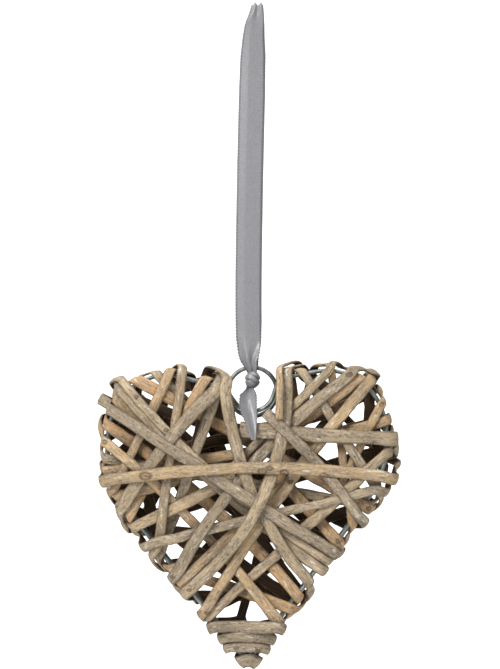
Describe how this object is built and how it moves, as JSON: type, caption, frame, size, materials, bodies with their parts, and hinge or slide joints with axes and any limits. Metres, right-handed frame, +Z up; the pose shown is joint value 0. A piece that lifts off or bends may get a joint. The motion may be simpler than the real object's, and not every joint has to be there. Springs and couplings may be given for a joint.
{
  "type": "wicker heart hanging decoration",
  "caption": "Open heart wound from flat willow strips over a wire frame, hung by a satin ribbon tied to a wire ring in its notch.",
  "frame": {"origin": "inside top of the ribbon loop, where a hook or nail carries it", "axes": "+Z up along the hanging line, the front of the heart faces -Y, +X to the right as seen from the front"},
  "size_m": [0.204, 0.0618, 0.4407],
  "materials": {
    "willow_tan": "matt split willow with grey bark and pale streaks",
    "galvanised_wire": "dull galvanised",
    "satin_ribbon": "grey satin"
  },
  "bodies": {
    "root": {"hanging_ring": "galvanised_wire", "ribbon": "satin_ribbon", "tip_binding": "willow_tan", "willow_strip_01": "willow_tan", "willow_strip_02": "willow_tan", "willow_strip_03": "willow_tan", "willow_strip_04": "willow_tan", "willow_strip_05": "willow_tan", "willow_strip_06": "willow_tan", "willow_strip_07": "willow_tan", "willow_strip_08": "willow_tan", "willow_strip_09": "willow_tan", "willow_strip_10": "willow_tan", "willow_strip_11": "willow_tan", "willow_strip_12": "willow_tan", "willow_strip_13": "willow_tan", "willow_strip_14": "willow_tan", "willow_strip_15": "willow_tan", "willow_strip_16": "willow_tan", "willow_strip_17": "willow_tan", "wire_heart_back": "galvanised_wire", "wire_heart_front": "galvanised_wire", "wire_tie_1": "galvanised_wire", "wire_tie_2": "galvanised_wire", "wire_tie_3": "galvanised_wire", "wire_tie_4": "galvanised_wire", "wire_tie_5": "galvanised_wire", "wire_tie_6": "galvanised_wire", "wire_tie_7": "galvanised_wire"}
  },
  "joints": []
}
